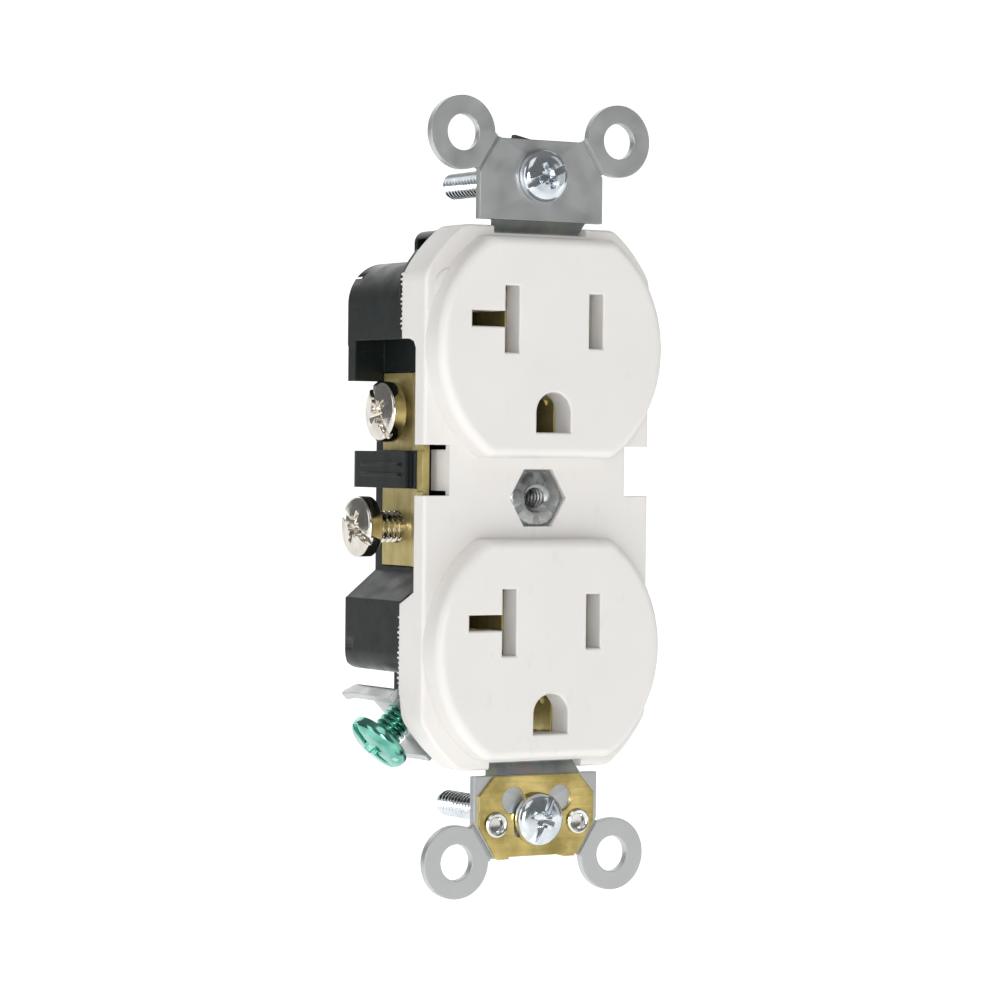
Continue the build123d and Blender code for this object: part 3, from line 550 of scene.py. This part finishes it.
# ---------------------------------------------------------------- carried-over CAD nodes
KEPT = {
    "face_cover": NYLON, "rear_body": BLACK, "mounting_strap": STEEL,
    "neutral_bus": STRIP_BRASS, "hot_bus": STRIP_BRASS, "self_ground_clip": CLIP_BRASS,
    "ground_contact_upper": STRIP_BRASS, "ground_contact_lower": STRIP_BRASS,
    "ground_rivet_upper": ZINC, "ground_rivet_lower": ZINC,
    "screw_retainer_upper": FIBRE, "screw_retainer_lower": FIBRE,
}
for node, material in KEPT.items():
    piece = frame["nodes"][node]
    piece.data.materials.clear()
    piece.data.materials.append(material)


# ---------------------------------------------------------------- studio
def studio_floor():
    """A pale floor well below the object that curves up into a backdrop."""
    depth, width, level, radius = 2.4, 6.0, -0.16, 0.8
    line = [(-2.2, level), (depth - radius, level)]
    for k in range(1, 13):
        turn = math.pi / 2 * k / 12
        line.append((depth - radius + radius * math.sin(turn),
                     level + radius * (1 - math.cos(turn))))
    line.append((depth, 3.2))
    forward = Vector((0.5148, 0.8572, 0)).normalized()
    across = Vector((forward.y, -forward.x, 0))
    verts, faces = [], []
    for distance, height in line:
        for side in (-1, 1):
            verts.append(forward * distance + across * side * width / 2 + Vector((0, 0, height)))
    for k in range(len(line) - 1):
        faces.append((2 * k, 2 * k + 1, 2 * k + 3, 2 * k + 2))
    floor = mesh_object("studio_floor", verts, faces)
    floor.data.shade_smooth()
    s = Shader("studio_paper", Base_Color=(0.9, 0.905, 0.9, 1), Roughness=0.9)
    s.bsdf.inputs["Emission Color"].default_value = (1, 1, 1, 1)
    s.bsdf.inputs["Emission Strength"].default_value = 0.72
    floor.data.materials.append(s.material)


def area_light(name, position, size, power):
    """A soft box that faces the middle of the object."""
    light = bpy.data.lights.new(name, "AREA")
    light.shape = "RECTANGLE"
    light.size, light.size_y = size
    light.energy = power
    lamp = bpy.data.objects.new(name, light)
    bpy.context.scene.collection.objects.link(lamp)
    lamp.location = position
    lamp.rotation_euler = (-Vector(position)).to_track_quat("-Z", "Y").to_euler()


def world(strength):
    made = bpy.data.worlds.new("studio_world")
    bpy.context.scene.world = made
    made.use_nodes = True
    tree = made.node_tree
    background = tree.nodes["Background"]
    background.inputs["Strength"].default_value = strength
    split = tree.nodes.new("ShaderNodeSeparateXYZ")
    tree.links.new(tree.nodes.new("ShaderNodeTexCoord").outputs["Generated"], split.inputs[0])
    height = tree.nodes.new("ShaderNodeMapRange")
    height.inputs["From Min"].default_value = -1.0
    tree.links.new(split.outputs["Z"], height.inputs["Value"])
    ramp = tree.nodes.new("ShaderNodeValToRGB")
    tree.links.new(height.outputs["Result"], ramp.inputs["Fac"])
    ramp.color_ramp.elements[0].color = (0.42, 0.42, 0.41, 1)
    ramp.color_ramp.elements[1].color = (1.0, 1.0, 1.0, 1)
    middle = ramp.color_ramp.elements.new(0.5)
    middle.color = (0.62, 0.64, 0.65, 1)
    tree.links.new(ramp.outputs["Color"], background.inputs["Color"])


studio_floor()
area_light("key_box", (-0.35, -0.75, 0.75), (0.6, 0.6), 1.2)
area_light("front_box", (-0.40, -0.63, 0.03), (0.2, 0.26), 1.9)
area_light("left_box", (-0.95, -0.05, 0.15), (0.4, 0.9), 1.5)
area_light("right_box", (0.8, -0.5, 0.2), (0.4, 0.9), 0.6)
area_light("back_box", (0.1, 0.9, 0.6), (0.8, 0.5), 0.6)
world(0.27)

scene = bpy.context.scene
scene.view_settings.view_transform = "Standard"

camera_data = bpy.data.cameras.new("camera")
camera_data.sensor_width = 36
camera_data.lens = 127.3
camera_data.clip_start = 0.01
camera = bpy.data.objects.new("camera", camera_data)
scene.collection.objects.link(camera)
FORWARD = Vector((0.51479, 0.85720, -0.01430)).normalized()
ROLL = math.radians(0.575)
right = FORWARD.cross(Vector((0, 0, 1))).normalized()
up = right.cross(FORWARD)
turned_right = right * math.cos(ROLL) + up * math.sin(ROLL)
turned_up = up * math.cos(ROLL) - right * math.sin(ROLL)
basis = Matrix((turned_right, turned_up, -FORWARD)).transposed().to_4x4()
camera.matrix_world = Matrix.Translation((-0.24063, -0.39092, 0.00625)) @ basis
scene.camera = camera
